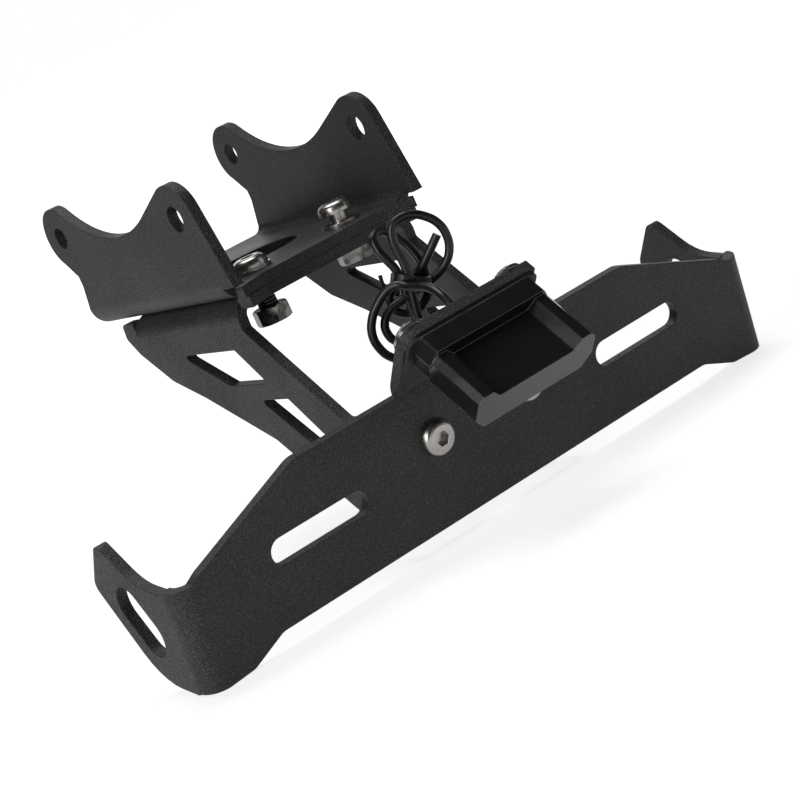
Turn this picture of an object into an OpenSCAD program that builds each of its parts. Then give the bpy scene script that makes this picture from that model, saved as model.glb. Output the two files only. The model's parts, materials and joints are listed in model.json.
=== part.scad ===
// Motorcycle tail tidy: a folded seat bracket, a pair of cranked arms and a number plate
// bracket with indicator flanges, carrying a plate light and its short cable.
// The origin lies on the axis of the rear ear holes, halfway between the ears.
// X runs across the bike, +Y points to the front wheel and +Z up.

/* [Sheet steel] */
// Thickness of the coated steel sheet
sheet = 3.4; // [2:0.1:5]
// Inside radius of the folds
fold_radius = 3; // [1:0.5:5]
// Width of the relief notches at the ends of the folds
relief_gap = 1.2; // [0.8:0.1:2]

/* [Seat bracket] */
// Width over the two ears
ear_span = 71; // [60:1:100]
// Height of the rear ear holes above the seat plate
rear_hole_height = 27.4; // [20:0.1:40]
// Height of the front ear holes above the seat plate
front_hole_height = 24; // [18:0.1:40]
// Distance from the rear to the front ear holes
ear_hole_pitch = 77.2; // [60:0.1:100]
// Diameter of the rear ear holes
rear_hole_d = 7; // [5:0.1:10]
// Diameter of the front ear holes
front_hole_d = 8; // [5:0.1:10]
// Radius of the lobe round each rear ear hole
rear_lobe_r = 9.8; // [7:0.1:14]
// Radius of the lobe round each front ear hole
front_lobe_r = 10.3; // [7:0.1:14]
// Radius of the saddle cut between the lobes
saddle_r = 50.4; // [35:0.1:80]
// Height of the saddle's lowest point above the seat plate
saddle_low = 23.3; // [12:0.1:40]
// Distance of the seat plate's front edge from the rear holes
seat_front = 85.5; // [75:0.1:110]
// Distance of the seat plate's rear edge behind the rear holes
seat_rear = 3; // [0:0.1:10]
// Length of the flared corners beyond the front edge
flare_length = 5.5; // [0:0.1:10]
// Width of the oblong window in the seat plate
seat_window_w = 32; // [20:0.5:45]
// Depth of the oblong window in the seat plate
seat_window_d = 26; // [10:0.5:40]
// Distance of the oblong window's middle from the rear holes
seat_window_y = 43; // [30:0.5:60]

/* [Arms] */
// Width over the two arms
arm_span = 66.8; // [50:0.1:90]
// Depth of the arms under the seat plate at the rear
arm_rear_drop = 15; // [8:0.5:25]
// Height of the tabs that the arms turn in behind the number plate
arm_tab_top = 37.5; // [30:0.5:45]
// How far those tabs stand out under the number plate bracket
arm_tab_below = 1.4; // [0:0.1:8]
// Gap between the two tabs
arm_tab_gap = 13; // [5:0.5:30]
// Radius of the corners of the arm windows
window_corner_r = 1; // [0.5:0.1:3]

/* [Number plate bracket] */
// Overall width of the number plate bracket
plate_width = 216; // [190:1:260]
// Height of the shoulders above the bottom edge
shoulder_height = 41.6; // [35:0.1:60]
// Backward lean of the bracket's bottom from the vertical, degrees
plate_lean = 10.1; // [0:0.1:30]
// Distance of the bracket's bottom edge in front of the rear holes
plate_foot_y = 124.8; // [110:0.1:150]
// Depth of the bracket's bottom edge under the seat plate's top
plate_foot_z = 82; // [60:0.1:110]
// Length of each number plate slot
slot_length = 33.5; // [10:0.1:45]
// Width of each number plate slot
slot_width = 7.7; // [5:0.1:10]
// Distance of each slot's middle from the centre line
slot_x = 60.45; // [40:0.1:80]
// Height of the slots above the bottom edge
slot_height = 20.4; // [10:0.1:30]
// Length of the side flanges behind the bracket's front face
flange_length = 45.2; // [35:0.1:60]
// Width of the slot in each side flange
flange_slot_width = 12.8; // [6:0.1:14]

/* [Light tab] */
// Angle by which the light's tab is bent forward, degrees
tab_angle = 35; // [0:1:60]
// Width of the light's tab
tab_width = 48; // [40:0.5:60]
// Height of the light's tab above its fold
tab_height = 20.6; // [15:0.1:30]
// Corner radius at the tab's left end
tab_corner_r = 5.5; // [1:0.5:8]
// Corner radius at the tab's right end
tab_corner_right_r = 1; // [0.5:0.5:8]

/* [Plate light] */
// Width of the light's body
light_width = 44; // [36:0.5:50]
// Length of the light in front of its gasket
light_length = 25.5; // [18:0.5:35]
// Length of the light's base block
light_base_length = 6.8; // [4:0.1:10]
// Thickness of the gasket between light and tab
gasket_thickness = 1.5; // [0.5:0.1:3]
// Distance of the light's screws from the centre line
light_screw_x = 18; // [10:0.5:20]
// Height of the light's screws above the tab's fold
light_screw_height = 15.5; // [8:0.5:18]
// Diameter of the light's screws
light_screw_d = 5; // [3:0.5:6]
// Diameter of their heads
light_head_d = 7.5; // [6:0.5:10]
// Height of their heads
light_head_height = 1.4; // [1:0.1:4]
// Diameter of the washers under these heads
light_washer_d = 11; // [9:0.5:14]
// Width of the lens in the light's underside
lens_width = 28; // [15:0.5:36]
// Thickness of the lens
lens_thickness = 2; // [1:0.1:3]

/* [Fasteners] */
// Diameter of the bolts' shanks
bolt_d = 6; // [4:0.5:8]
// Length of the bolts under their heads
bolt_length = 16; // [12:1:25]
// Diameter of the domed bolt heads
head_d = 10.8; // [8:0.1:14]
// Height of the domed bolt heads
head_height = 3.3; // [2:0.1:5]
// Size across flats of the sockets in the heads
socket_af = 4; // [2:0.5:5]
// Depth of the sockets in the heads
socket_depth = 2; // [1:0.1:3]
// Diameter of the holes for the bolts
bolt_hole_d = 6.6; // [5:0.1:9]
// Diameter of the washers
washer_d = 12; // [9:0.1:16]
// Thickness of the washers
washer_thickness = 1.1; // [0.5:0.1:2]
// Size across flats of the bolts' nuts
nut_af = 10; // [8:0.5:14]
// Height of the bolts' nuts
nut_height = 5; // [3:0.1:8]
// Distance of the bracket bolts and plate screws from the centre line
bolt_x = 17; // [12:0.1:22]
// Distance of the bracket bolts from the rear holes
bolt_y = 72.4; // [60:0.1:80]
// Height of the plate screws above the bracket's bottom edge
screw_height = 25.6; // [15:0.1:35]
// How far the right bracket bolt stands up out of its washer
right_bolt_lift = 3; // [0:0.1:6]
// How far the left bracket nut hangs under the arm bracket
left_nut_drop = 4.4; // [0:0.1:6]

/* [Cable] */
// Diameter of the cable
cable_d = 2.6; // [2:0.1:4]
// Distance of the cable's hole from the centre line
cable_x = 0; // [-10:0.5:10]
// Height of the cable's hole above the tab's fold
cable_height = 14; // [8:0.5:16]
// Outside diameter of the grommet's collar
grommet_d = 9; // [6:0.5:12]

/* [Hidden] */

$fa = 4;
$fs = 0.4;
left = -1;
right = 1;
overrun = 1;
arc_steps = 5;
tab_fold_steps = 7;
dome_steps = 6;

fold_outer = fold_radius + sheet;
fold_lap = 0.5;
ear_fold_x = ear_span / 2 - fold_outer;
arm_fold_x = arm_span / 2 - fold_outer;
plate_fold_x = plate_width / 2 - fold_outer;

// Heights of the seat bracket, counted from the seat plate's top
saddle_centre = [-ear_hole_pitch / 2 + 0.1, saddle_low + saddle_r];
rear_hole = [0, rear_hole_height];
front_hole = [-ear_hole_pitch, front_hole_height];
ear_fold_front = -seat_front + 0.5;
ear_front_bottom = [-seat_front - 7, 1];
ear_waist_y = 0.3;

// The arms, seen from the side, with z counted from the seat plate's top
arm_top = -sheet;
arm_fold_z = arm_top - fold_outer;
arm_fold_rear = -16;
arm_fold_front = -seat_front + 3.2;
arm_rear_tip_y = -8;
flare_start_x = 22;
seat_flare_x = ear_span / 2 - 3.2;
arm_flare_x = arm_span / 2 - 2;

// The light's tab, with w counted up the tab from the corner of its fold
tab_fold_w = fold_radius * tan(tab_angle / 2);
tab_corner_z = shoulder_height + tab_fold_w;

light_side_x = light_width / 2;
light_base_front = gasket_thickness + light_base_length;
light_front = gasket_thickness + light_length;
light_under_w = 7;
light_roof_w = 16.5;
light_ridge_w = 19.5;
lens_back = light_base_front + 3;
lens_front = light_front - 3;
lens_ledge = 1.5;
board_w = light_under_w + 4.8;
board_thickness = 1.2;
chip_size = 3;
chip_height = 0.8;
chip_pitch = 8;
light_screw_depth = 4;
screw_clearance = 0.4;
cable_clearance = 0.3;
grommet_body_d = 6.5;
grommet_collar = 1.5;

// The cable's bundle stands upright behind the light and is turned about Z to face forward left
hank_centre = [5, -112, -46.5];
hank_turn = -30;
hank_lean = 30;
hank_depth = 8;
hank_upper = 14;
hank_upper_r = 10.5;
hank_lower = -12;
hank_lower_r = 10.5;
hank_waist = 12;
tie_height = 3;
tie_thickness = 1.2;
tie_offset = 2.2;
tie_tail = 6;
tie_tail_width = 2;

// Route of the cable from the light's base to its bundle
lead_route = [
    [0, -140.8, -56.2], [0, -138, -53.4], [0, -136, -51.3], [0.4, -133.5, -49.2],
    [0.9, -130.5, -47.7], [1.2, -127, -46.7], [1.3, -123, -46.2], [1.4, -119.5, -46],
    [1.7, -117.1, -46], [2.7, -115.4, -46]
];
lead_sides = 8;

// The node's place: every height below is counted from the seat plate's top
module in_place() {
    translate([0, 0, -rear_hole_height]) children();
}

// Turns a side view of [y, z] points into a slab between two distances across the bike
module across(from, to) {
    translate([from, 0, 0]) rotate([90, 0, 90]) linear_extrude(to - from) children();
}

// Turns a front view of [x, z] points into a slab between two distances to the front
module forward(from, to) {
    translate([0, -from, 0]) rotate([90, 0, 0]) linear_extrude(to - from) children();
}

// Both sides of the bike
module both_sides() {
    children();
    mirror([1, 0, 0]) children();
}

// Frame of the number plate bracket: y = 0 on its front face, z = 0 on its bottom edge
module on_plate() {
    in_place() translate([0, -plate_foot_y, -plate_foot_z]) rotate([plate_lean, 0, 0]) children();
}

// Frame of the light's tab: y = 0 on its front face, z = 0 at the corner of its fold
module on_tab() {
    on_plate() translate([0, 0, tab_corner_z]) rotate([tab_angle, 0, 0]) children();
}

// A point of the number plate bracket, given behind its front face and above its bottom edge
function beside_plate(back, up) = [
    -plate_foot_y + back * cos(plate_lean) - up * sin(plate_lean),
    -plate_foot_z + back * sin(plate_lean) + up * cos(plate_lean)
];

// Points of an outline whose corners [across, up, radius] are rounded
function toward(from, to) = (to - from) / norm(to - from);
function corner_arc(before, at, after, r) =
    let (
        back = toward(at, before),
        ahead = toward(at, after),
        half = acos(back * ahead) / 2,
        centre = at + toward([0, 0], back + ahead) * r / sin(half),
        start = at + back * r / tan(half) - centre,
        turn = sign(ahead[0] * back[1] - ahead[1] * back[0]) * (180 - 2 * half),
        angle = atan2(start[1], start[0])
    )
    [for (i = [0:arc_steps]) centre + r * [cos(angle + turn * i / arc_steps), sin(angle + turn * i / arc_steps)]];
function in_plan(p) = [p[0], p[1]];
function rounded(points) = [
    for (i = [0:len(points) - 1])
        let (
            before = in_plan(points[(i + len(points) - 1) % len(points)]),
            at = in_plan(points[i]),
            after = in_plan(points[(i + 1) % len(points)])
        )
        each points[i][2] > 0 ? corner_arc(before, at, after, points[i][2]) : [at]
];
function mirrored(points) = concat(
    points, [for (i = [len(points) - 1:-1:0]) [-points[i][0], points[i][1], points[i][2]]]
);

// Where the saddle's flank touches a lobe: the direction square to their common tangent
function flank_angle(lobe, lobe_r, side) =
    let (
        reach = norm(saddle_centre - lobe),
        aim = atan2(saddle_centre[1] - lobe[1], saddle_centre[0] - lobe[0])
    )
    aim + side * acos(min(1, (saddle_r + lobe_r) / reach));
function polar(r, angle) = r * [cos(angle), sin(angle)];

// An oblong with round ends between two points
module oblong(from, to, width) {
    long = norm(to - from);
    translate(from) rotate(atan2(to[1] - from[1], to[0] - from[0])) {
        circle(d = width);
        translate([long, 0]) circle(d = width);
        translate([0, -width / 2]) square([long, width]);
    }
}

// A sheet's section round a square fold about the origin, with short laps into both sheets
module fold_section() {
    intersection() {
        difference() {
            circle(fold_outer);
            circle(fold_radius);
        }
        square(fold_outer);
    }
    translate([fold_radius, -fold_lap]) square([sheet, fold_lap]);
    translate([-fold_lap, fold_radius]) square([fold_lap, sheet]);
}

// Section of the light's tab and of its fold about the origin, with a short lap into the bracket
module tab_section(ahead) {
    far = ahead * [-sin(tab_angle), cos(tab_angle)];
    polygon(concat(
        [[fold_radius, -fold_lap], [fold_outer, -fold_lap]],
        [for (i = [0:tab_fold_steps]) polar(fold_outer, tab_angle * i / tab_fold_steps)],
        [polar(fold_outer, tab_angle) + far, polar(fold_radius, tab_angle) + far],
        [for (i = [tab_fold_steps:-1:0]) polar(fold_radius, tab_angle * i / tab_fold_steps)]
    ));
}

// Side view of one ear above its fold
module ear_view() {
    rear_angle = flank_angle(rear_hole, rear_lobe_r, -1);
    front_angle = flank_angle(front_hole, front_lobe_r, 1);
    heel_angle = -37;
    brow_angle = 166;
    difference() {
        union() {
            translate(rear_hole) circle(rear_lobe_r);
            translate(front_hole) circle(front_lobe_r);
            polygon([
                rear_hole + polar(rear_lobe_r, heel_angle),
                [ear_waist_y, rear_hole_height / 2 + 0.6],
                [ear_waist_y, rear_hole_height / 2 - 2.7],
                [seat_rear, fold_radius],
                [ear_fold_front, fold_radius],
                [ear_fold_front, ear_front_bottom[1]],
                ear_front_bottom,
                front_hole + polar(front_lobe_r, brow_angle),
                front_hole,
                front_hole + polar(front_lobe_r, front_angle),
                saddle_centre - polar(saddle_r, front_angle),
                saddle_centre - polar(saddle_r, rear_angle),
                rear_hole + polar(rear_lobe_r, rear_angle),
                rear_hole
            ]);
        }
        translate(saddle_centre) circle(saddle_r, $fa = 2);
        translate(rear_hole) circle(d = rear_hole_d);
        translate(front_hole) circle(d = front_hole_d);
    }
}

// Top view of the front half of a flared plate, with relief notches at the folds
function flared_plate(fold_x, rear, fold_front, flare_x) = mirrored([
    [fold_x, rear, 0],
    [fold_x, fold_front, 0],
    [fold_x - relief_gap, fold_front, 0],
    [fold_x - relief_gap, fold_front - relief_gap, 0],
    [flare_x, fold_front - relief_gap, 0],
    [flare_x, -seat_front - flare_length, 0],
    [flare_start_x, -seat_front, 2]
]);

module bolt_holes() {
    for (side = [left, right]) translate([side * bolt_x, -bolt_y]) circle(d = bolt_hole_d);
}

module seat_bracket() {
    in_place() color([0.13, 0.13, 0.14]) {
        translate([0, 0, -sheet]) linear_extrude(sheet) difference() {
            polygon(rounded(flared_plate(ear_fold_x, seat_rear, ear_fold_front, seat_flare_x)));
            bolt_holes();
            oblong([(seat_window_d - seat_window_w) / 2, -seat_window_y],
                   [(seat_window_w - seat_window_d) / 2, -seat_window_y], seat_window_d);
        }
        both_sides() {
            translate([ear_fold_x, seat_rear, fold_radius]) rotate([90, 0, 0])
                linear_extrude(seat_rear - ear_fold_front) mirror([0, 1]) fold_section();
            across(ear_span / 2 - sheet, ear_span / 2) ear_view();
        }
    }
}

// Side view of one arm: from its fold under the seat to its fold behind the number plate
module arm_view() {
    turn_in = sheet + fold_outer;
    difference() {
        polygon(rounded([
            [arm_fold_rear, arm_fold_z, 0],
            [arm_fold_rear, arm_top - 1, 0],
            [arm_rear_tip_y - 1, arm_top - 1, 2],
            [arm_rear_tip_y, arm_top - 6, 2],
            [arm_rear_tip_y - 4.6, -arm_rear_drop, 0],
            [-26, -25, 4],
            [-42, -31.7, 0],
            [-73, -47, 8],
            concat(beside_plate(turn_in, -arm_tab_below), [0]),
            concat(beside_plate(turn_in, arm_tab_top), [0]),
            concat(beside_plate(turn_in + 7, arm_tab_top - 1), [2]),
            [arm_fold_front + 0.3, -12.5, 1],
            [arm_fold_front, arm_fold_z, 0]
        ]));
        polygon(rounded([
            [-38, -17.4, window_corner_r],
            [-72.2, -18, window_corner_r],
            [-83, -29.4, window_corner_r],
            [-60.4, -28.8, window_corner_r]
        ]));
        polygon(rounded([
            [-73.8, -34.3, window_corner_r],
            [-90.2, -34.7, window_corner_r],
            [-112, -57.5, window_corner_r],
            [-108.5, -62, window_corner_r]
        ]));
    }
}

// Front view of one of the tabs that the arms turn in behind the number plate bracket
module arm_tab_view() {
    difference() {
        polygon(rounded([
            [arm_tab_gap / 2, -arm_tab_below, 4],
            [arm_fold_x, -arm_tab_below, 0],
            [arm_fold_x, arm_tab_top, 0],
            [arm_tab_gap / 2, arm_tab_top, 4]
        ]));
        translate([bolt_x, screw_height]) circle(d = bolt_hole_d);
    }
}

module arm_bracket() {
    color([0.13, 0.13, 0.14]) {
        in_place() {
            translate([0, 0, arm_top - sheet]) linear_extrude(sheet) difference() {
                polygon(rounded(flared_plate(arm_fold_x, arm_fold_rear, arm_fold_front, arm_flare_x)));
                bolt_holes();
            }
            both_sides() {
                translate([arm_fold_x, arm_fold_rear, arm_fold_z]) rotate([90, 0, 0])
                    linear_extrude(arm_fold_rear - arm_fold_front) fold_section();
                across(arm_span / 2 - sheet, arm_span / 2) arm_view();
            }
        }
        on_plate() both_sides() {
            translate([arm_fold_x, sheet + fold_outer, -arm_tab_below])
                linear_extrude(arm_tab_top + arm_tab_below) mirror([0, 1]) fold_section();
            forward(-2 * sheet, -sheet) arm_tab_view();
        }
    }
}

// Side view of an indicator flange behind the number plate bracket
module flange_view() {
    difference() {
        polygon(rounded([
            [fold_outer, -5.9, 0],
            [flange_length - 20.4, -5.9, 20],
            [flange_length, 20, 3.5],
            [flange_length - 9.5, 34.8, 2.5],
            [20, 24.4, 20],
            [fold_outer, 24.4, 0]
        ]));
        oblong([flange_length - 23.5, 9.1], [flange_length - 17.2, 16.3], flange_slot_width);
    }
}

// Front view of the light's tab, which runs down past its fold
module light_tab_view() {
    difference() {
        polygon(rounded([
            [-tab_width / 2, -fold_outer, 0],
            [tab_width / 2, -fold_outer, 0],
            [tab_width / 2, tab_height, tab_corner_right_r],
            [-tab_width / 2, tab_height, tab_corner_r]
        ]));
        for (side = [left, right])
            translate([side * light_screw_x, light_screw_height]) circle(d = light_screw_d + screw_clearance);
        translate([cable_x, cable_height]) circle(d = grommet_body_d);
    }
}

module number_plate_bracket() {
    flange_low = -5.4;
    flange_high = 25.2;
    on_plate() color([0.13, 0.13, 0.14]) {
        forward(-sheet, 0) difference() {
            polygon(rounded(mirrored([
                [plate_fold_x - 20, 0, 6],
                [plate_fold_x - 8.6, flange_low + 0.6, 6],
                [plate_fold_x, flange_low, 0],
                [plate_fold_x, flange_high, 0],
                [plate_fold_x - 3, 27, 6],
                [plate_fold_x - 40, shoulder_height, 9]
            ])));
            both_sides() {
                oblong([slot_x - (slot_length - slot_width) / 2, slot_height],
                       [slot_x + (slot_length - slot_width) / 2, slot_height], slot_width);
                translate([bolt_x, screw_height]) circle(d = bolt_hole_d);
            }
        }
        both_sides() {
            translate([plate_fold_x, fold_outer, flange_low])
                linear_extrude(flange_high - flange_low) mirror([0, 1]) fold_section();
            across(plate_width / 2 - sheet, plate_width / 2) flange_view();
        }
        intersection() {
            translate([0, -fold_radius, shoulder_height])
                across(-tab_width / 2 - overrun, tab_width / 2 + overrun) tab_section(tab_height);
            translate([0, 0, tab_corner_z]) rotate([tab_angle, 0, 0]) forward(-2 * fold_outer, fold_outer)
                light_tab_view();
        }
    }
}

// A domed screw along -z with its head on the plane z = 0
module domed_screw() {
    rim = head_height * 0.3;
    crown = head_d * 0.29;
    difference() {
        rotate_extrude() polygon(concat(
            [[0, -bolt_length], [bolt_d / 2 - 0.6, -bolt_length], [bolt_d / 2, 0.6 - bolt_length],
             [bolt_d / 2, 0], [head_d / 2, 0], [head_d / 2, rim]],
            [for (i = [1:dome_steps])
                [crown + (head_d / 2 - crown) * cos(90 * i / dome_steps),
                 rim + (head_height - rim) * sin(90 * i / dome_steps)]],
            [[0, head_height]]
        ));
        translate([0, 0, head_height - socket_depth])
            cylinder(h = socket_depth + overrun, d = socket_af / cos(30), $fn = 6);
    }
}

// A flat washer resting on the plane z = 0
module washer(outer, inner, thickness) {
    linear_extrude(thickness) difference() {
        circle(d = outer);
        circle(d = inner);
    }
}

// A hexagon nut with chamfered corners resting on the plane z = 0
module nut(across_flats, bore, height) {
    corner = across_flats / cos(30) / 2;
    chamfer = corner - across_flats / 2;
    rise = chamfer * tan(30);
    difference() {
        intersection() {
            cylinder(h = height, r = corner, $fn = 6);
            rotate_extrude() polygon([
                [0, 0], [corner - chamfer, 0], [corner, rise], [corner, height - rise],
                [corner - chamfer, height], [0, height]
            ]);
        }
        translate([0, 0, -overrun]) cylinder(h = height + 2 * overrun, d = bore);
    }
}

module at_bracket_bolt(side, height) {
    in_place() translate([side * bolt_x, -bolt_y, height]) children();
}

module bracket_bolt(side) {
    lift = side == right ? right_bolt_lift : 0;
    at_bracket_bolt(side, washer_thickness + lift) color([0.78, 0.77, 0.74]) domed_screw();
}

module bracket_washer(side) {
    at_bracket_bolt(side, 0) color([0.82, 0.81, 0.79]) washer(washer_d, bolt_hole_d, washer_thickness);
}

module bracket_nut(side) {
    drop = side == left ? left_nut_drop : 0;
    at_bracket_bolt(side, arm_top - sheet - drop - nut_height) color([0.72, 0.71, 0.68])
        rotate(15) nut(nut_af, bolt_d, nut_height);
}

// The plate screws point backward: their local +z is the way out of the front face
module at_plate_screw(side, back) {
    on_plate() translate([side * bolt_x, back, screw_height]) rotate([90, 0, 0]) children();
}

module plate_screw(side) {
    at_plate_screw(side, 0) color([0.78, 0.77, 0.74]) domed_screw();
}

module plate_washer(side) {
    at_plate_screw(side, 2 * sheet + washer_thickness) color([0.82, 0.81, 0.79])
        washer(washer_d, bolt_hole_d, washer_thickness);
}

module plate_nut(side) {
    at_plate_screw(side, 2 * sheet + washer_thickness + nut_height) color([0.72, 0.71, 0.68])
        nut(nut_af, bolt_d, nut_height);
}

// Front view of the light's base block
module light_base_view() {
    polygon(rounded(mirrored([
        [light_side_x - 1, 10.5, 1.5],
        [light_side_x, 16.5, 1],
        [light_side_x - 2.5, 20.8, 1]
    ])));
}

// Front view of the light's hood: two ridges beside a lower centre panel
module light_hood_view() {
    polygon(rounded(mirrored([
        [light_side_x - 4, light_under_w, 1],
        [light_side_x - 0.5, 11, 1.5],
        [light_side_x - 0.5, light_ridge_w - 2, 0.5],
        [light_side_x - 2.5, light_ridge_w, 0.5],
        [light_side_x - 5.5, light_ridge_w, 0.5],
        [light_side_x - 8.5, light_roof_w, 0.5]
    ])));
}

// A block of the light's pocket, between two heights up the tab
module in_pocket(inset, low, high) {
    translate([inset - lens_width / 2, inset - lens_front, low])
        cube([lens_width - 2 * inset, lens_front - lens_back - 2 * inset, high - low]);
}

module light_housing() {
    on_tab() color([0.03, 0.03, 0.03]) difference() {
        union() {
            forward(gasket_thickness, light_base_front) light_base_view();
            forward(light_base_front, light_front) light_hood_view();
        }
        in_pocket(0, light_under_w - overrun, light_under_w + lens_thickness);
        in_pocket(lens_ledge, light_under_w, board_w + board_thickness);
        for (side = [left, right])
            translate([side * light_screw_x, overrun - gasket_thickness, light_screw_height])
                rotate([90, 0, 0]) cylinder(h = light_screw_depth + overrun, d = light_screw_d);
    }
}

module light_lens() {
    on_tab() color([0.85, 0.88, 0.9]) in_pocket(0, light_under_w, light_under_w + lens_thickness);
}

module light_board() {
    on_tab() color([0.8, 0.82, 0.8]) in_pocket(lens_ledge, board_w, board_w + board_thickness);
}

module light_chips() {
    on_tab() color([0.95, 0.9, 0.6]) for (step = [-1:1])
        translate([step * chip_pitch - chip_size / 2, -(lens_back + lens_front + chip_size) / 2, board_w - chip_height])
            cube([chip_size, chip_size, chip_height]);
}

module light_gasket() {
    on_tab() color([0.05, 0.05, 0.05]) forward(0, gasket_thickness) difference() {
        polygon(rounded(mirrored([
            [light_side_x + 1.5, 10, 2],
            [light_side_x + 1.5, tab_height - 0.6, 2]
        ])));
        for (side = [left, right]) translate([side * light_screw_x, light_screw_height]) circle(d = light_screw_d + screw_clearance);
    }
}

// The light's screws come from behind the tab: their local +z is the way into the light
module at_light_screw(side, back) {
    on_tab() translate([side * light_screw_x, back, light_screw_height]) rotate([90, 0, 0]) children();
}

module light_screw(side) {
    reach = sheet + washer_thickness + gasket_thickness + light_screw_depth;
    at_light_screw(side, sheet + washer_thickness) color([0.72, 0.71, 0.68]) {
        cylinder(h = reach, d = light_screw_d);
        translate([0, 0, -light_head_height]) cylinder(h = light_head_height, d = light_head_d);
    }
}

module light_washer(side) {
    at_light_screw(side, sheet + washer_thickness) color([0.82, 0.81, 0.79])
        washer(light_washer_d, light_screw_d + screw_clearance, washer_thickness);
}

// The grommet fills the tab's cable hole and has a collar on the tab's rear face
module cable_grommet() {
    on_tab() translate([cable_x, sheet + grommet_collar, cable_height]) rotate([90, 0, 0])
        color([0.05, 0.05, 0.05]) difference() {
            union() {
                cylinder(h = grommet_collar, d = grommet_d);
                cylinder(h = grommet_collar + sheet, d = grommet_body_d);
            }
            translate([0, 0, -overrun])
                cylinder(h = grommet_collar + sheet + 2 * overrun, d = cable_d + 2 * cable_clearance);
        }
}

// A tube of constant width along a list of points
function heading(route, i) = toward(route[max(i - 1, 0)], route[min(i + 1, len(route) - 1)]);
function ring_points(at, ahead, r) =
    let (
        side = toward([0, 0, 0], cross(ahead, [1, 0, 0])),
        up = cross(side, ahead)
    )
    [for (k = [0:lead_sides - 1])
        at + r * (side * cos(360 * k / lead_sides) + up * sin(360 * k / lead_sides))];
module tube(route, r) {
    last = len(route) - 1;
    polyhedron(
        points = [for (i = [0:last]) each ring_points(route[i], heading(route, i), r)],
        faces = concat(
            [[for (k = [0:lead_sides - 1]) k]],
            [for (i = [0:last - 1], k = [0:lead_sides - 1])
                [i * lead_sides + k, (i + 1) * lead_sides + k,
                 (i + 1) * lead_sides + (k + 1) % lead_sides, i * lead_sides + (k + 1) % lead_sides]],
            [[for (k = [lead_sides - 1:-1:0]) last * lead_sides + k]]
        )
    );
}

module cable_lead() {
    color([0.05, 0.05, 0.05]) tube(lead_route, cable_d / 2);
}

// Frame of the cable's bundle: z runs along it, y through its depth
module on_hank() {
    translate(hank_centre) rotate([0, 0, hank_turn]) rotate([0, hank_lean, 0]) children();
}

module cable_hank() {
    on_hank() color([0.06, 0.06, 0.06]) forward(-hank_depth / 2, hank_depth / 2) {
        translate([0, hank_upper]) circle(hank_upper_r);
        translate([0, hank_lower]) circle(hank_lower_r);
        translate([-hank_waist / 2, hank_lower]) square([hank_waist, hank_upper - hank_lower]);
    }
}

module cable_tie() {
    outer_x = hank_waist + 2 * tie_thickness;
    outer_y = hank_depth + 2 * tie_thickness;
    on_hank() color([0.08, 0.08, 0.08]) translate([0, 0, tie_offset]) {
        linear_extrude(tie_height) difference() {
            square([outer_x, outer_y], center = true);
            square([hank_waist, hank_depth], center = true);
        }
        translate([-outer_x / 2 - tie_tail, -outer_y / 2, 0]) cube([tie_tail, tie_thickness, tie_tail_width]);
    }
}

seat_bracket();
arm_bracket();
number_plate_bracket();
bracket_bolt(left);  // bracket_bolt_left
bracket_bolt(right);  // bracket_bolt_right
bracket_washer(left);  // bracket_washer_left
bracket_washer(right);  // bracket_washer_right
bracket_nut(left);  // bracket_nut_left
bracket_nut(right);  // bracket_nut_right
plate_screw(left);  // plate_screw_left
plate_screw(right);  // plate_screw_right
plate_washer(left);  // plate_washer_left
plate_washer(right);  // plate_washer_right
plate_nut(left);  // plate_nut_left
plate_nut(right);  // plate_nut_right
light_housing();
light_lens();
light_board();
light_chips();
light_gasket();
light_screw(left);  // light_screw_left
light_screw(right);  // light_screw_right
light_washer(left);  // light_washer_left
light_washer(right);  // light_washer_right
cable_grommet();
cable_lead();
cable_hank();
cable_tie();
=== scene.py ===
import json
import math

import bmesh
import bpy
from mathutils import Matrix, Vector


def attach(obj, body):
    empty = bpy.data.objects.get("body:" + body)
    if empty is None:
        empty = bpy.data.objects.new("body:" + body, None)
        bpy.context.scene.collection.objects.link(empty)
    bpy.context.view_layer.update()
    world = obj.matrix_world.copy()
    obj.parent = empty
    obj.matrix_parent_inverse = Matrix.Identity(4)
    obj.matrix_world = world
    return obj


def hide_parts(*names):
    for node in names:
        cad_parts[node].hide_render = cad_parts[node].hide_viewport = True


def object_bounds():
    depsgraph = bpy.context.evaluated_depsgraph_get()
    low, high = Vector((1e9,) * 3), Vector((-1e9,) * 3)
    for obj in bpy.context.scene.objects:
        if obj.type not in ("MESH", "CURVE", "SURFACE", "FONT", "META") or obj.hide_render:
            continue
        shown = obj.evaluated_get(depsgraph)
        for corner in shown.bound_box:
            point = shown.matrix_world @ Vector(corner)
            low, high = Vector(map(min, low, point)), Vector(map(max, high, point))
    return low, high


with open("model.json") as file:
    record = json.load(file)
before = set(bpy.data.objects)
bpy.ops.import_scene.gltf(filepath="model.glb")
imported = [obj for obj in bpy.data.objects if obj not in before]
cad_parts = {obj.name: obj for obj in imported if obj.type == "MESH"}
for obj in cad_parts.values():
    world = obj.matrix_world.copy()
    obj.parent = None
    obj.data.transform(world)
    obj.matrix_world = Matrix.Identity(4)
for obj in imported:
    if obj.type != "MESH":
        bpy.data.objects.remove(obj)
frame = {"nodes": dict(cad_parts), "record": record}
size_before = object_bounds()

scene = bpy.context.scene
MM = 0.001

# camera: the photo's, found from the bracket's folds and holes
CAMERA_PLACE = Vector((-331.7, -662.5, 52.6)) * MM
CAMERA_RIGHT = Vector((0.74959, -0.52677, -0.40077))
CAMERA_DOWN = Vector((-0.44285, 0.05086, -0.89515))
CAMERA_VIEW = Vector((0.49193, 0.84847, -0.19515))
CAMERA_LENS = 103.46
CAMERA_SENSOR = 36
CAMERA_NEAREST = 0.05

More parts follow.
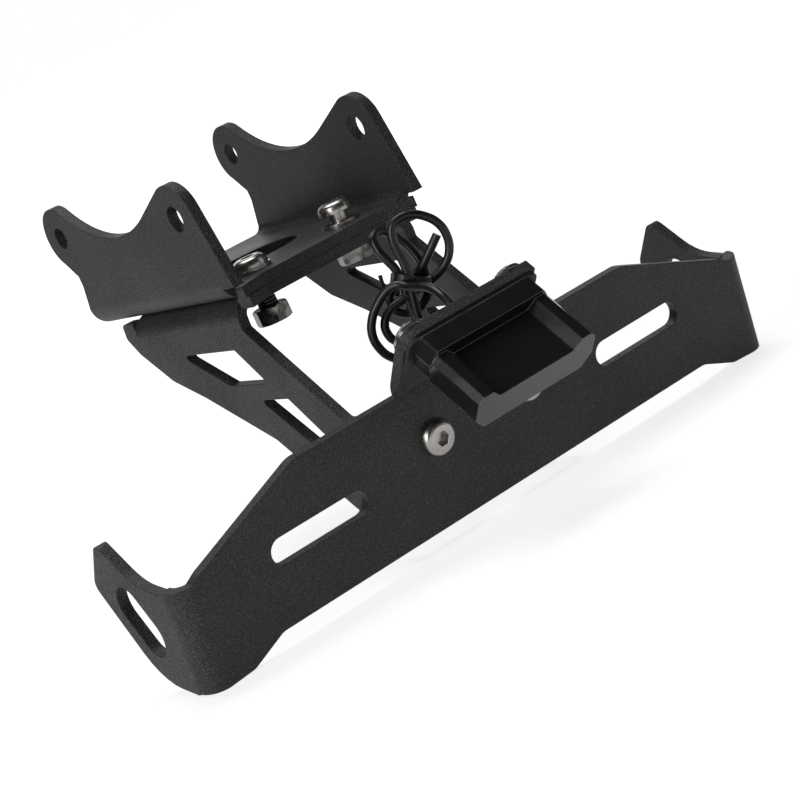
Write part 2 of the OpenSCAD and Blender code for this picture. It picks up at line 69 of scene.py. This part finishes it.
camera = bpy.data.objects.new("camera", bpy.data.cameras.new("camera"))
camera.data.lens = CAMERA_LENS
camera.data.sensor_width = CAMERA_SENSOR
camera.data.clip_start = CAMERA_NEAREST
camera.matrix_world = Matrix.Translation(CAMERA_PLACE) @ Matrix(
    (CAMERA_RIGHT, -CAMERA_DOWN, -CAMERA_VIEW)
).transposed().to_4x4()
scene.collection.objects.link(camera)
scene.camera = camera

# the cable: one route in millimetres, from the light's grommet through its loops to the cut end
CABLE_D = 2.6
SEAT_TOP = -27.4
HANK_FOOT = Vector((5, -112, SEAT_TOP))
# the loops stand in an upright plane that is turned by thirty degrees
HANK_ACROSS = Vector((0.866, -0.5, 0))
HANK_DEEP = Vector((0.5, 0.866, 0))
HANK_TURN = math.radians(-30)


def in_hank(across, up, deep):
    """A point of the tied loops, measured from their upright plane and the seat plate's top."""
    return HANK_FOOT + across * HANK_ACROSS + deep * HANK_DEEP + Vector((0, 0, up))


lead_route = [
    (0, -140.8, -56.2), (0, -138, -53.4), (0, -136, -51.3), (0.4, -133.5, -49.2),
    (0.9, -130.5, -47.7), (1.2, -127, -46.7), (1.3, -123, -46.2), (1.4, -119.5, -46),
]
first_low_loop = [
    (-0.5, -18.1, -6.3), (-2, -17.2, -4.6), (-4.3, -17, -3.6), (-6.8, -17.9, -3),
    (-10.2, -20.3, -2.6), (-13.2, -23.6, -2.4), (-14.8, -27.6, -2.2), (-14.5, -31.8, -2),
    (-12.5, -35.6, -1.8), (-9.4, -37.6, -1.6), (-5.9, -37.6, -1.5), (-3, -35.6, -1.5),
    (-1.4, -32.2, -1.6), (-0.8, -28.4, -1.8), (-0.2, -24.4, -2), (0.5, -20.5, -2.2),
]
big_loop = [
    (1.2, -16.5, -2.3), (1.5, -12.5, -2.2), (1.3, -8.5, -2), (1.4, -4.8, -1.8), (2.8, -1.6, -1.6),
    (5.7, -0.4, -1.4), (9.2, -0.9, -1.2), (12.5, -3, -1), (15, -6.2, -0.8), (15.9, -10.2, -0.6),
    (15, -14.4, -0.4), (12.4, -17.7, -0.2), (8.6, -19.7, 0), (4.4, -20.9, 0.3), (0.2, -21.8, 0.6),
]
second_low_loop = [
    (-3.6, -22.5, 0.8), (-7.4, -23.7, 1), (-10, -26.1, 1), (-10.7, -29.4, 1), (-9.2, -32.6, 1),
    (-6.2, -34, 1), (-3.2, -32.6, 1), (-1.9, -29.2, 1), (-1.6, -25.2, 0.9), (-1.3, -21.2, 0.8),
]
left_loop = [
    (-0.9, -17.2, 0.8), (-1.3, -13.2, 0.9), (-2.6, -9.6, 1.1), (-3.6, -6, 1.8), (-3.3, -3.2, 3.2),
    (-1.4, -2.4, 5.2), (1.2, -3.9, 6.6), (3.5, -7, 6.9), (5.2, -10.6, 6.3), (6.3, -14.6, 5.2),
    (6.4, -18.8, 4.2),
]
third_low_loop = [
    (5.2, -22.7, 3.6), (2.7, -25.7, 3.2), (-0.8, -27.1, 2.9), (-4.4, -26.2, 2.7), (-6.4, -23.2, 2.6),
    (-5.6, -19.9, 2.6), (-2.4, -18.3, 2.6), (1.6, -18, 2.5), (5.2, -16.6, 2.3), (8.6, -14, 2.1),
    (11.2, -11.6, 1.9), (13.6, -9.4, 1.7),
]
tied_loops = first_low_loop + big_loop + second_low_loop + left_loop + third_low_loop
cable_route = [Vector(p) for p in lead_route] + [in_hank(*p) for p in tied_loops]


def add_cable(name, route, width):
    """A round cord along one smooth curve through the route, with flat cut ends."""
    line = bpy.data.curves.new(name, "CURVE")
    line.dimensions = "3D"
    line.resolution_u = 8
    # the depth is in millimetres, and each knot's radius turns it into metres
    line.bevel_depth = width / 2
    line.bevel_resolution = 4
    line.use_fill_caps = True
    spline = line.splines.new("BEZIER")
    spline.bezier_points.add(len(route) - 1)
    for knot, at in zip(spline.bezier_points, route):
        knot.co = at * MM
        knot.radius = MM
        knot.handle_left_type = "AUTO"
        knot.handle_right_type = "AUTO"
    cord = bpy.data.objects.new(name, line)
    scene.collection.objects.link(cord)
    return cord


cable = add_cable("cable", cable_route, CABLE_D)
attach(cable, "root")
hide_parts("cable_lead", "cable_hank")

# the tie round the loops: a band, its lock and its tail, in millimetres from the band's middle
TIE_PLACE = (1.9, -17.95, 1)
TIE_LEAN = math.radians(30)
BAND_SIZE = (11, 11.4, 3)
BAND_THICK = 1
BAND_CORNER = 3.6
LOCK_SIZE = (3, 2.6, 6.4)
LOCK_PLACE = (-4.1, 4.2, -2.6)
LOCK_CORNER = 0.3
TAIL_THICK = 1.1
TAIL_WIDE = 1.8
TAIL_LONG = 6.2
TAIL_BEND = 14
TAIL_STEPS = 8
TAIL_FOOT = (-5.5, 4.1, -5.7)
TAIL_LEAN = math.radians(-44)


def add_shape(name, shape):
    """Makes an object of a finished shape, whose place is in its own vertices."""
    mesh = bpy.data.meshes.new(name)
    shape.to_mesh(mesh)
    shape.free()
    piece = bpy.data.objects.new(name, mesh)
    scene.collection.objects.link(piece)
    return piece


def join_shapes(first, *others):
    """Puts further shapes into the first one."""
    for other in others:
        spare = bpy.data.meshes.new("spare")
        other.to_mesh(spare)
        other.free()
        first.from_mesh(spare)
        bpy.data.meshes.remove(spare)
    return first


def block(size):
    """A sharp block round the origin, its size in millimetres."""
    shape = bmesh.new()
    bmesh.ops.create_cube(shape, size=1)
    bmesh.ops.scale(shape, vec=Vector(size) * MM, verts=shape.verts)
    return shape


def round_edges(shape, edges, radius, steps):
    """Rounds the given edges, the radius in millimetres."""
    bmesh.ops.bevel(
        shape, geom=edges, affect="EDGES", offset=radius * MM, segments=steps, profile=0.5, material=-1
    )


def tie_band():
    """The band: a block with rounded upright corners and open ends, its wall then thickened."""
    band = block(BAND_SIZE)
    upright = [e for e in band.edges if abs(e.verts[0].co.z - e.verts[1].co.z) > MM]
    round_edges(band, upright, BAND_CORNER, steps=6)
    ends = [f for f in band.faces if abs(f.normal.z) > 0.5]
    bmesh.ops.delete(band, geom=ends, context="FACES_ONLY")
    bmesh.ops.recalc_face_normals(band, faces=band.faces[:])
    bmesh.ops.solidify(band, geom=band.faces[:], thickness=BAND_THICK * MM)
    return band


def tie_lock():
    """The lock: a small block on the band's corner, with softened edges."""
    lock = block(LOCK_SIZE)
    round_edges(lock, lock.edges[:], LOCK_CORNER, steps=3)
    bmesh.ops.translate(lock, vec=Vector(LOCK_PLACE) * MM, verts=lock.verts)
    return lock


def tie_tail():
    """The strap's cut end: a flat strip that leans out of the lock and bends upright."""
    tail = bmesh.new()
    bmesh.ops.create_grid(tail, x_segments=1, y_segments=1, size=0.5)
    bmesh.ops.scale(tail, vec=Vector((TAIL_THICK, TAIL_WIDE, 1)) * MM, verts=tail.verts)
    bmesh.ops.spin(
        tail, geom=tail.verts[:] + tail.edges[:] + tail.faces[:], cent=(TAIL_BEND * MM, 0, 0),
        axis=(0, 1, 0), angle=TAIL_LONG / TAIL_BEND, steps=TAIL_STEPS,
        use_merge=False, use_duplicate=False,
    )
    bmesh.ops.recalc_face_normals(tail, faces=tail.faces[:])
    lean = Matrix.Rotation(TAIL_LEAN, 4, "Y")
    tail.transform(Matrix.Translation(Vector(TAIL_FOOT) * MM) @ lean)
    return tail


def add_tie():
    """The tie in its place: turned as the loops' plane is, and leaning with the loops."""
    shape = join_shapes(tie_band(), tie_lock(), tie_tail())
    turn = Matrix.Rotation(HANK_TURN, 4, "Z")
    lean = Matrix.Rotation(TIE_LEAN, 4, "Y")
    shape.transform(Matrix.Translation(in_hank(*TIE_PLACE) * MM) @ turn @ lean)
    return add_shape("tie", shape)


tie = add_tie()
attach(tie, "root")
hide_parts("cable_tie")


# materials: one small socket class, and one method that adds any node
NOISE_LOW = 0.3
NOISE_HIGH = 0.7
# how well a rounded edge's normal agrees with the plain one, on a flat and at a sharp edge
FLAT = 0.999
SHARP = 0.8
EDGE_RAYS = 6


def grey(value, warm=0.0):
    """A grey with a touch of warmth, as a colour."""
    return (value * (1 + warm), value, value * (1 - warm), 1)


class Socket:
    """A shader socket that takes part in sums."""

    def __init__(self, graph, out):
        self.graph = graph
        self.out = out

    def __add__(self, other):
        return self.graph.maths("ADD", self, other)

    def __radd__(self, other):
        return self.graph.maths("ADD", other, self)

    def __mul__(self, other):
        return self.graph.maths("MULTIPLY", self, other)

    def __rmul__(self, other):
        return self.graph.maths("MULTIPLY", other, self)


class Graph:
    """A material's node graph.

    Lengths are in millimetres, and a noise's scale is how many of its grains fit in a metre.
    """

    def __init__(self, name):
        self.material = bpy.data.materials.new(name)
        self.material.use_nodes = True
        self.tree = self.material.node_tree
        self.surface = next(n for n in self.tree.nodes if n.type == "BSDF_PRINCIPLED")

    def add(self, kind, inputs, out=0, **settings):
        """Adds a node, sets or links its inputs, and gives back one of its outputs."""
        node = self.tree.nodes.new(kind)
        for key, value in settings.items():
            setattr(node, key, value)
        for key, value in inputs.items():
            self.feed(node.inputs[key], value)
        return Socket(self, node.outputs[out])

    def feed(self, target, value):
        """A socket is linked, a plain value is set."""
        if isinstance(value, Socket):
            self.tree.links.new(value.out, target)
        else:
            target.default_value = value

    def maths(self, what, first, second=0.0):
        """One Math node."""
        return self.add("ShaderNodeMath", {0: first, 1: second}, operation=what)

    def here(self):
        """The shaded point, in the object's own coordinates."""
        return self.add("ShaderNodeTexCoord", {}, out="Object")

    def part(self, vector, axis):
        """One of a vector's three parts."""
        return self.add("ShaderNodeSeparateXYZ", {0: vector}, out=axis)

    def noise(self, scale, detail=2.0, rough=0.5, at=None):
        """Noise round a half, with more fine detail as detail and rough rise."""
        return self.add(
            "ShaderNodeTexNoise",
            {"Vector": at or self.here(), "Scale": scale, "Detail": detail, "Roughness": rough},
            out="Fac",
        )

    def step(self, value, low, high, start=0.0, end=1.0):
        """A smooth rise from start to end while the value goes from low to high."""
        return self.add(
            "ShaderNodeMapRange",
            {"Value": value, "From Min": low, "From Max": high, "To Min": start, "To Max": end},
            interpolation_type="SMOOTHSTEP",
        )

    def spread(self, noise, start, end):
        """A noise's usual range, spread from start to end."""
        return self.step(noise, NOISE_LOW, NOISE_HIGH, start, end)

    def wave(self, along, pitch):
        """A sine wave along a length, one turn for each pitch."""
        return self.maths("SINE", along * (2 * math.pi / (pitch * MM)))

    def mix(self, share, first, second):
        """A colour between two others."""
        return self.add("ShaderNodeMix", {0: share, 6: first, 7: second}, out=2, data_type="RGBA")

    def bump(self, height, strength, distance, over=None):
        """A bumped normal, laid over another one if that is given."""
        inputs = {"Height": height, "Strength": strength, "Distance": distance * MM}
        if over:
            inputs["Normal"] = over
        return self.add("ShaderNodeBump", inputs, out="Normal")

    def round_edge(self, radius):
        """The normal of rounded edges, and how sharp the edge is here: 0 on flats, 1 at corners."""
        soft = self.add("ShaderNodeBevel", {"Radius": radius * MM}, samples=EDGE_RAYS)
        flat = self.add("ShaderNodeNewGeometry", {}, out="Normal")
        same = self.add("ShaderNodeVectorMath", {0: soft, 1: flat}, out="Value", operation="DOT_PRODUCT")
        return soft, self.step(same, FLAT, SHARP)

    def finish(self, **inputs):
        """Sets the surface's inputs, named with underscores for spaces."""
        for key, value in inputs.items():
            self.feed(self.surface.inputs[key.replace("_", " ")], value)
        return self.material


COAT_BLACKS = (grey(0.004), grey(0.008))
COAT_SPECK = grey(0.1)
COAT_WORN = grey(0.05)
COAT_WEAR = 0.3
COAT_GRAIN_DEEP = 0.17


def powder_coat():
    """Satin black coat with a fine orange-peel grain, pale specks and slightly worn edges."""
    g = Graph("powder_coat")
    soft, edge = g.round_edge(0.5)
    grain = g.noise(scale=3400, detail=2, rough=0.6)
    coarse = g.noise(scale=900)
    cloud = g.noise(scale=35, detail=3)
    specks = g.step(g.noise(scale=3300, detail=1), low=0.48, high=0.64)
    black = g.mix(cloud, *COAT_BLACKS)
    speckled = g.mix(specks, black, COAT_SPECK)
    worn = g.mix(edge * COAT_WEAR, speckled, COAT_WORN)
    peel = g.bump(grain * 0.6 + coarse * 0.4, strength=0.7, distance=COAT_GRAIN_DEEP, over=soft)
    return g.finish(Base_Color=worn, Roughness=g.spread(cloud, 0.46, 0.56), Normal=peel)


STEEL_BRIGHT_EDGE = grey(0.85, 0.01)
STEEL_WEAR = 0.4
MARKS_DEEP = 0.02
# the bracket bolts carry a thread below the seat plate's top
THREAD_TOP = SEAT_TOP
THREAD_PITCH = 1
THREAD_DEEP = 0.2
THREAD_SHADE = grey(0.06)


def stainless(name, bright, dull=0.82, marks=0.25, threaded=False):
    """Tumbled stainless steel with fine marks, stained down to the dull share of its tone."""
    g = Graph(name)
    soft, edge = g.round_edge(0.18)
    stain = g.noise(scale=260, detail=4, rough=0.6)
    upright = g.add("ShaderNodeMapping", {"Vector": g.here(), "Scale": (1, 1, 6)})
    scratch = g.noise(scale=1500, detail=2, rough=0.7, at=upright)
    shade = g.step(stain, low=0.35, high=0.65)
    steel = g.mix(shade, grey(bright * dull, 0.05), grey(bright, 0.04))
    steel = g.mix(edge * STEEL_WEAR, steel, STEEL_BRIGHT_EDGE)
    marked = g.bump(scratch, strength=marks, distance=MARKS_DEEP, over=soft)
    if threaded:
        height = g.part(g.here(), "Z")
        turns = g.wave(height, THREAD_PITCH)
        shank = g.maths("LESS_THAN", height, THREAD_TOP * MM)
        groove = g.step(turns, low=0.2, high=-0.8)
        steel = g.mix(groove * shank, steel, THREAD_SHADE)
        marked = g.bump(turns * shank, strength=1.0, distance=THREAD_DEEP, over=marked)
    return g.finish(
        Base_Color=steel, Metallic=1.0, Roughness=g.spread(stain, 0.2, 0.34), Normal=marked
    )


MOULDING_BLACK = grey(0.013, 0.06)
MOULDING_DUST = grey(0.09)
MOULDING_DUSTY = 0.25
# pale grey painted onto the moulding's rounded edges as a painted highlight
MOULDING_EDGE_HIGHLIGHT = grey(0.3)
FLOW_DEEP = 0.03


def light_black():
    """Gloss black moulding with soft flow lines and dust, and a painted highlight along its edges."""
    g = Graph("light_black")
    soft, edge = g.round_edge(0.35)
    dust = g.step(g.noise(scale=5000, detail=1), low=0.68, high=0.8)
    haze = g.noise(scale=120, detail=3)
    black = g.mix(dust * MOULDING_DUSTY, MOULDING_BLACK, MOULDING_DUST)
    # painted highlight: every rounded edge is painted pale grey
    edge_highlighted = g.mix(edge, black, MOULDING_EDGE_HIGHLIGHT)
    flow = g.bump(g.noise(scale=700), strength=0.08, distance=FLOW_DEEP, over=soft)
    return g.finish(
        Base_Color=edge_highlighted, Roughness=g.spread(haze, 0.16, 0.26), Normal=flow, Coat_Weight=0.3
    )


RUBBER_GRAIN_DEEP = 0.03


def rubber(name, value, rough):
    """Matt black rubber or plastic with a fine grain."""
    g = Graph(name)
    haze = g.noise(scale=300, detail=3)
    grain = g.noise(scale=2400, detail=2, rough=0.6)
    return g.finish(
        Base_Color=g.mix(haze, grey(value * 0.8), grey(value * 1.2)),
        Roughness=g.spread(haze, rough - 0.05, rough + 0.07),
        Normal=g.bump(grain, strength=0.2, distance=RUBBER_GRAIN_DEEP),
    )


RIB_PITCH = 1.2
RIB_DEEP = 0.1


def lens_clear():
    """Clear moulded lens with fine ribs."""
    g = Graph("lens_clear")
    ribs = g.wave(g.part(g.here(), "X"), RIB_PITCH)
    return g.finish(
        Base_Color=grey(0.9), Transmission_Weight=0.85, IOR=1.49,
        Roughness=g.spread(g.noise(scale=600), 0.08, 0.16),
        Normal=g.bump(ribs, strength=0.3, distance=RIB_DEEP),
    )


BOARD_WHITES = (grey(0.55), grey(0.7))
WEAVE_DEEP = 0.02


def board():
    """White-masked board with a faint weave."""
    g = Graph("board")
    weave = g.noise(scale=1800)
    return g.finish(
        Base_Color=g.mix(weave, *BOARD_WHITES), Roughness=0.5,
        Normal=g.bump(weave, strength=0.1, distance=WEAVE_DEEP),
    )


PHOSPHOR_YELLOWS = ((0.75, 0.6, 0.12, 1), (0.85, 0.72, 0.2, 1))


def led():
    """Amber-yellow phosphor with a fine grain."""
    g = Graph("led")
    phosphor = g.mix(g.noise(scale=2500), *PHOSPHOR_YELLOWS)
    return g.finish(Base_Color=phosphor, Roughness=0.4)


finishes = {
    "powder_coat": powder_coat(),
    "stainless": stainless("stainless", bright=0.52),
    "bolt_steel": stainless("bolt_steel", bright=0.52, threaded=True),
    "washer_steel": stainless("washer_steel", bright=0.55, dull=0.85, marks=0.06),
    "nut_steel": stainless("nut_steel", bright=0.34, dull=0.2, marks=0.12),
    "light_black": light_black(),
    "lens_clear": lens_clear(),
    "board": board(),
    "led": led(),
    "gasket_rubber": rubber("gasket_rubber", value=0.02, rough=0.55),
    "cable_black": rubber("cable_black", value=0.009, rough=0.35),
    "tie_black": rubber("tie_black", value=0.009, rough=0.38),
}
slot_of = {part["node"]: part["material_slot"] for part in frame["record"]["subparts"]}


def finish_of(name):
    """Nuts and bolts have a steel of their own, and every other node has its slot's finish."""
    if "_nut_" in name:
        return "nut_steel"
    if "_bolt_" in name:
        return "bolt_steel"
    return slot_of[name]


for name, node in frame["nodes"].items():
    node.data.materials.clear()
    node.data.materials.append(finishes[finish_of(name)])
cable.data.materials.append(finishes["cable_black"])
tie.data.materials.append(finishes["tie_black"])

# floor and backdrop
FLOOR_Z = size_before[0][2]
FLOOR_REACH = 30
GLOW_NEAR = 0.78
GLOW_MIRRORED = 0.6
GLOW_FROM = 0.25
GLOW_FULL = 0.8
PAPER_GREYS = (grey(0.42), grey(0.48))


def floor_finish():
    """White paper, lifted for the camera and in reflections, but less near the object and its shadow."""
    g = Graph("floor")
    seen = g.add("ShaderNodeLightPath", {}, out="Is Camera Ray")
    mirrored = g.add("ShaderNodeLightPath", {}, out="Is Glossy Ray")
    away = g.add("ShaderNodeVectorMath", {0: g.here()}, out="Value", operation="LENGTH")
    far = g.step(away, low=GLOW_FROM, high=GLOW_FULL)
    white = g.mix(far, grey(GLOW_NEAR), grey(1))
    glow = g.mix(seen + mirrored * GLOW_MIRRORED, grey(0), white)
    paper = g.mix(g.noise(scale=90, detail=3), *PAPER_GREYS)
    return g.finish(
        Base_Color=paper, Roughness=0.9, Specular_IOR_Level=0.1, Emission_Color=glow,
        Emission_Strength=1.0,
    )


def add_floor():
    """A wide white floor at the object's lowest point, which is its backdrop too."""
    shape = bmesh.new()
    bmesh.ops.create_grid(shape, x_segments=1, y_segments=1, size=FLOOR_REACH)
    bmesh.ops.translate(shape, vec=(0, 0, FLOOR_Z), verts=shape.verts)
    floor = add_shape("floor", shape)
    floor.data.materials.append(floor_finish())
    return floor


floor = add_floor()

# lamps: soft boxes that point at the bracket's middle
LAMP_AIM = Vector((0, -0.09, -0.05))


def add_lamp(name, at, size, watts):
    """One soft box, its width and height in metres, which the camera doesn't see."""
    lamp = bpy.data.lights.new(name, "AREA")
    lamp.shape = "RECTANGLE"
    lamp.size, lamp.size_y = size
    lamp.energy = watts
    box = bpy.data.objects.new(name, lamp)
    box.location = at
    box.visible_camera = False
    box.rotation_euler = (LAMP_AIM - Vector(at)).to_track_quat("-Z", "Y").to_euler()
    scene.collection.objects.link(box)


add_lamp("key_left", at=(-1.3, -0.5, 0.5), size=(0.6, 0.9), watts=10)
add_lamp("overhead", at=(0.1, 0.25, 1.3), size=(0.9, 0.7), watts=9)
add_lamp("behind", at=(0.9, 1.5, 0.4), size=(1.8, 0.9), watts=6)
add_lamp("front_right", at=(1.1, -0.9, 0.35), size=(0.5, 0.8), watts=0.7)

WORLD_FILL = 0.03


def add_world():
    """A studio that the camera sees white, and that gives the object only a faint fill."""
    world = bpy.data.worlds.new("studio")
    world.use_nodes = True
    tree = world.node_tree
    background = tree.nodes["Background"]
    background.inputs["Color"].default_value = grey(1)
    ray = tree.nodes.new("ShaderNodeLightPath")
    strength = tree.nodes.new("ShaderNodeMath")
    strength.operation = "MULTIPLY_ADD"
    strength.inputs[1].default_value = 1 - WORLD_FILL
    strength.inputs[2].default_value = WORLD_FILL
    tree.links.new(ray.outputs["Is Camera Ray"], strength.inputs[0])
    tree.links.new(strength.outputs[0], background.inputs["Strength"])
    scene.world = world


add_world()

scene.view_settings.view_transform = "Standard"
